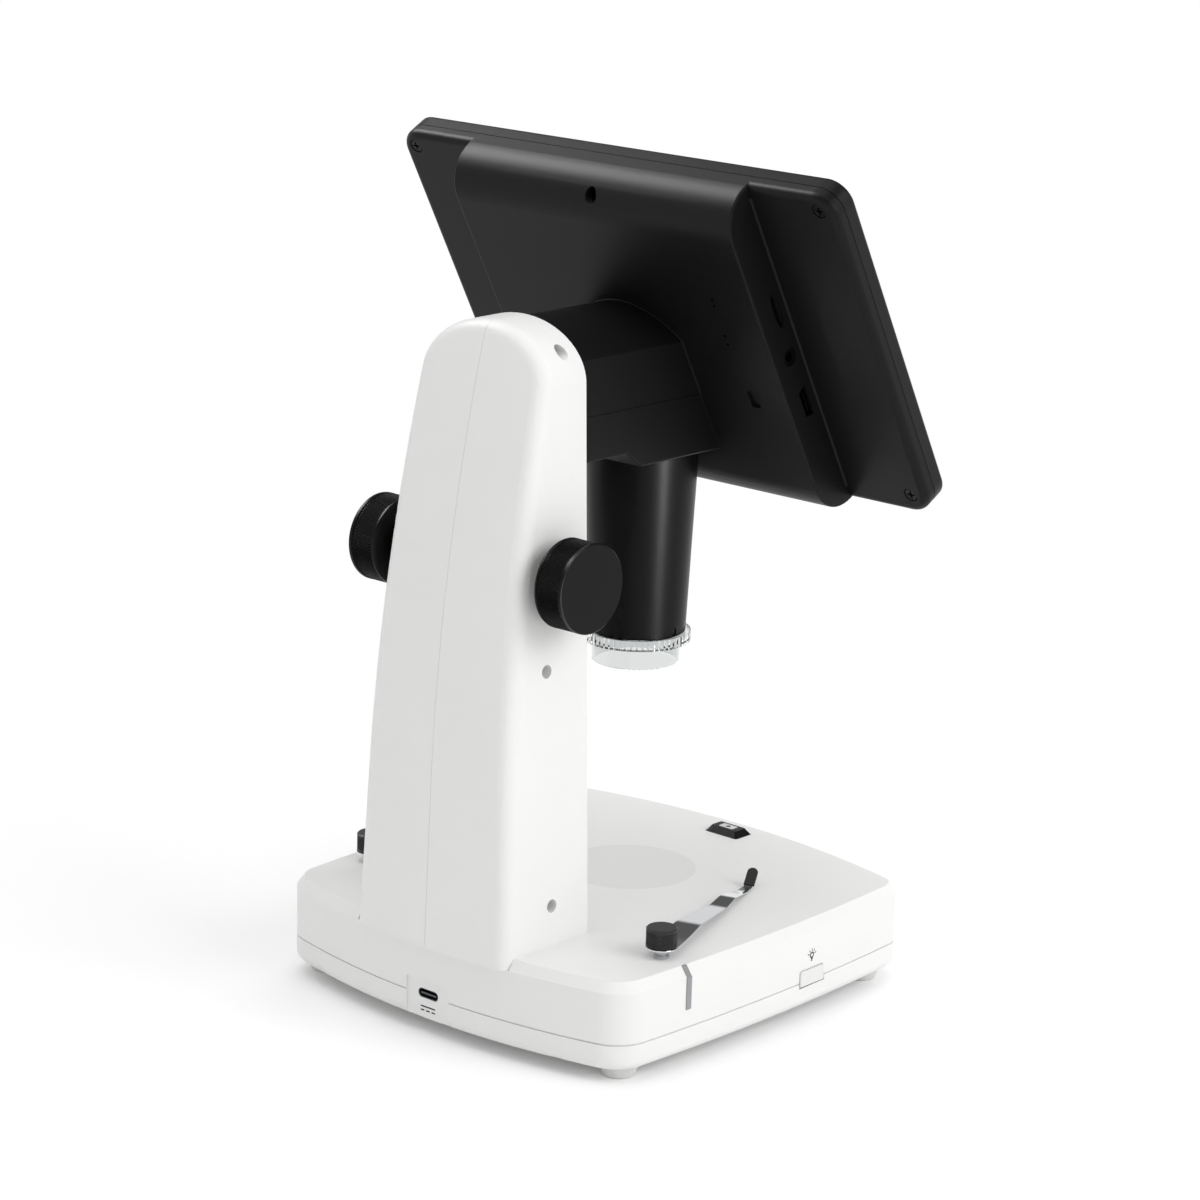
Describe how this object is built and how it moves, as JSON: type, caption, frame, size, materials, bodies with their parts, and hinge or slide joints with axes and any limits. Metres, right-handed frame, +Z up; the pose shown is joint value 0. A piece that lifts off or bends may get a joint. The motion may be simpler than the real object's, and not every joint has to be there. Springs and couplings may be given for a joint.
{
  "type": "lcd digital microscope",
  "caption": "Desktop digital microscope: tilted screen and camera tube on an arm that a rack drive moves along a tapered column over a lit stage with clips.",
  "frame": {"origin": "on the table, under the middle of the base", "axes": "+Z up, -Y towards the user's side with the screen's face, +X to the user's right"},
  "size_m": [0.1844, 0.1652, 0.2812],
  "materials": {
    "white_shell": "fine satin",
    "black_shell": "fine texture",
    "bezel_black": "satin",
    "black_anodised": "satin anodised",
    "black_knob": "knurled, satin",
    "frosted_white": "frosted, translucent",
    "clear_plastic": "clear, polished",
    "light_guide": "milky",
    "glass": "polished",
    "optical_glass": "coated",
    "panel": "dark",
    "feet_rubber": "matte",
    "sleeve_rubber": "matte",
    "spring_steel": "polished",
    "steel": "turned",
    "dark_screw": "blackened",
    "ballast": "plain",
    "aluminium": "cast",
    "brass": "turned",
    "bronze": "sintered",
    "board": "solder resist",
    "white_board": "white solder resist",
    "socket_metal": "plated",
    "gold_plate": "gold plated",
    "white_button": "satin"
  },
  "bodies": {
    "stand": {"base_upper_shell": "white_shell", "base_lower_shell": "white_shell", "base_feet": "feet_rubber", "base_screws": "steel", "ballast_plate": "ballast", "power_board": "board", "usb_c_receptacle": "socket_metal", "stage_disc": "frosted_white", "stage_lamp_board": "white_board", "indicator_light_guide": "light_guide", "clip_posts": "steel", "column_left_shell": "white_shell", "column_right_shell": "white_shell", "column_screws": "steel", "column_foot_screws": "steel", "guide_rods": "steel", "guide_brackets": "aluminium", "shaft_bushes": "bronze"},
    "head": {"carriage": "aluminium", "carriage_bushes": "bronze", "rack": "brass", "slot_shutter": "black_shell", "screen_rear_shell": "black_shell", "arm_lower_cover": "black_shell", "screen_bezel": "bezel_black", "screen_window": "glass", "display_panel": "panel", "main_board": "board", "key_board": "board", "card_socket": "socket_metal", "av_jack": "black_shell", "hdmi_socket": "gold_plate", "screen_corner_screws": "dark_screw", "arm_screws": "steel", "camera_tube": "black_anodised", "wheel_retainer": "aluminium", "led_ring": "white_board", "sensor_board": "board", "tube_set_screw": "dark_screw"},
    "focus_drive": {"focus_shaft": "steel", "pinion": "brass", "focus_knob_left": "black_knob", "focus_knob_right": "black_knob"},
    "focus_wheel": {"focus_wheel": "black_knob"},
    "lens": {"lens_barrel": "black_anodised", "objective_lens": "optical_glass"},
    "nose_cap": {"nose_cap": "clear_plastic"},
    "clip_left": {"clip_strip_left": "spring_steel", "clip_tip_left": "sleeve_rubber"},
    "clip_right": {"clip_strip_right": "spring_steel", "clip_tip_right": "sleeve_rubber"},
    "thumb_left": {"thumb_knob_left": "black_knob"},
    "thumb_right": {"thumb_knob_right": "black_knob"},
    "stage_button": {"stage_button": "bezel_black"},
    "lamp_button": {"lamp_button": "white_button"},
    "key_1": {"key_1": "bezel_black"},
    "key_2": {"key_2": "bezel_black"},
    "key_3": {"key_3": "bezel_black"},
    "key_4": {"key_4": "bezel_black"},
    "key_5": {"key_5": "bezel_black"}
  },
  "joints": [
    {"name": "head_slide", "type": "slide", "parent": "stand", "child": "head", "axis": [0, 0, 1], "range_m": [-0.025, 0.01]},
    {"name": "focus_shaft_turn", "type": "hinge", "parent": "stand", "child": "focus_drive", "pos_m": [0, 0.0589, 0.1543], "axis": [1, 0, 0], "range_deg": [-96, 239.5]},
    {"name": "focus_wheel_turn", "type": "hinge", "parent": "head", "child": "focus_wheel", "pos_m": [0, -0.0165, 0.1529], "axis": [0, 0, 1], "range_deg": [-150, 150]},
    {"name": "lens_slide", "type": "slide", "parent": "head", "child": "lens", "axis": [0, 0, 1], "range_m": [-0.0025, 0.0025]},
    {"name": "nose_cap_twist", "type": "hinge", "parent": "head", "child": "nose_cap", "pos_m": [0, -0.0165, 0.1167], "axis": [0, 0, 1], "range_deg": [0, 45]},
    {"name": "clip_left_swing", "type": "hinge", "parent": "stand", "child": "clip_left", "pos_m": [-0.065, 0.0421, 0.0372], "axis": [0, 0, 1], "range_deg": [-40, 28]},
    {"name": "clip_right_swing", "type": "hinge", "parent": "stand", "child": "clip_right", "pos_m": [0.065, 0.0421, 0.0372], "axis": [0, 0, -1], "range_deg": [-40, 28]},
    {"name": "thumb_left_turn", "type": "hinge", "parent": "stand", "child": "thumb_left", "pos_m": [-0.065, 0.0421, 0.0372], "axis": [0, 0, 1], "continuous": true},
    {"name": "thumb_right_turn", "type": "hinge", "parent": "stand", "child": "thumb_right", "pos_m": [0.065, 0.0421, 0.0372], "axis": [0, 0, 1], "continuous": true},
    {"name": "stage_button_press", "type": "slide", "parent": "stand", "child": "stage_button", "axis": [0, 0, -1], "range_m": [0, 0.0008], "stiffness_N_per_m": 900, "springref_m": -0.0004},
    {"name": "lamp_button_press", "type": "slide", "parent": "stand", "child": "lamp_button", "axis": [1, 0, 0], "range_m": [0, 0.0008], "stiffness_N_per_m": 900, "springref_m": -0.0004},
    {"name": "key_1_press", "type": "slide", "parent": "head", "child": "key_1", "axis": [0, 0.8751, -0.4839], "range_m": [0, 0.0005], "stiffness_N_per_m": 900, "springref_m": -0.0004},
    {"name": "key_2_press", "type": "slide", "parent": "head", "child": "key_2", "axis": [0, 0.8751, -0.4839], "range_m": [0, 0.0005], "stiffness_N_per_m": 900, "springref_m": -0.0004},
    {"name": "key_3_press", "type": "slide", "parent": "head", "child": "key_3", "axis": [0, 0.8751, -0.4839], "range_m": [0, 0.0005], "stiffness_N_per_m": 900, "springref_m": -0.0004},
    {"name": "key_4_press", "type": "slide", "parent": "head", "child": "key_4", "axis": [0, 0.8751, -0.4839], "range_m": [0, 0.0005], "stiffness_N_per_m": 900, "springref_m": -0.0004},
    {"name": "key_5_press", "type": "slide", "parent": "head", "child": "key_5", "axis": [0, 0.8751, -0.4839], "range_m": [0, 0.0005], "stiffness_N_per_m": 900, "springref_m": -0.0004}
  ],
  "couplings": [
    {"joint": "focus_shaft_turn", "follows": "head_slide", "rad_per_m": -166.67},
    {"joint": "lens_slide", "follows": "focus_wheel_turn", "m_per_rad": 0.0009548}
  ]
}
